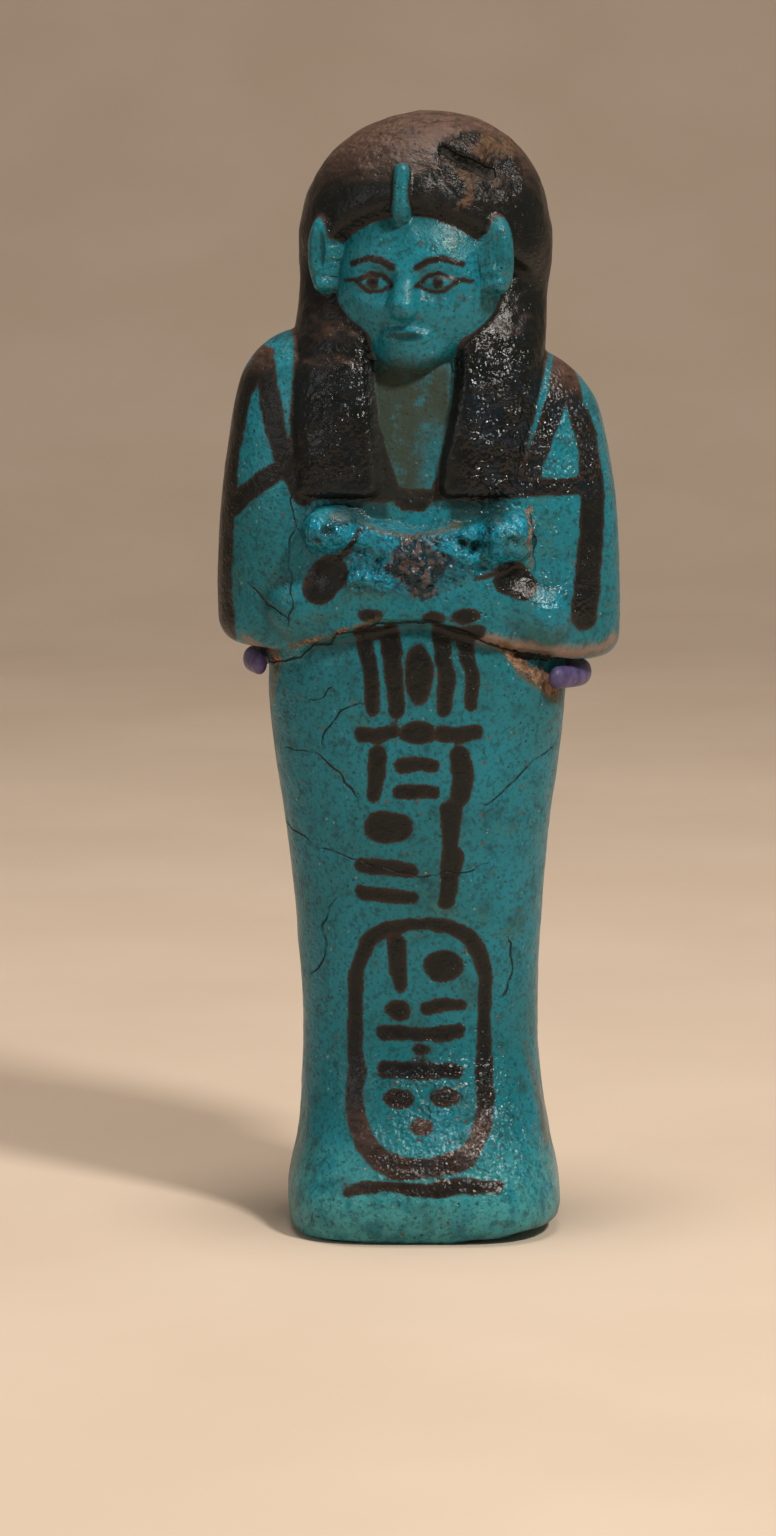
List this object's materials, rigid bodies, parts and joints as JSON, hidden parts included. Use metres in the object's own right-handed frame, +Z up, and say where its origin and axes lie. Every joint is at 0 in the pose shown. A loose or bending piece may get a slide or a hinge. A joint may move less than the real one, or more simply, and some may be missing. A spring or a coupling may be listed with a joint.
{
  "type": "ushabti figurine",
  "caption": "Blue-glazed faience mummy-form tomb figure with black painted marks, steadied upright by a painted metal cradle.",
  "frame": {"origin": "on the flat of the figure's underside, on the figure's upright axis, at the level of the surface it stands on", "axes": "+Z up the figure, -Y the way it faces, +X to the viewer's right when it is looked at from the front"},
  "size_m": [0.0412, 0.0431, 0.1144],
  "materials": {
    "faience": "turquoise faience glaze with fine pits, manganese-black painted marks and a sandy core at the chips",
    "cradle_paint": "satin violet-blue paint"
  },
  "bodies": {
    "root": {"figurine": "faience", "cradle": "cradle_paint", "stem": "cradle_paint", "foot_plate": "cradle_paint"}
  },
  "joints": []
}
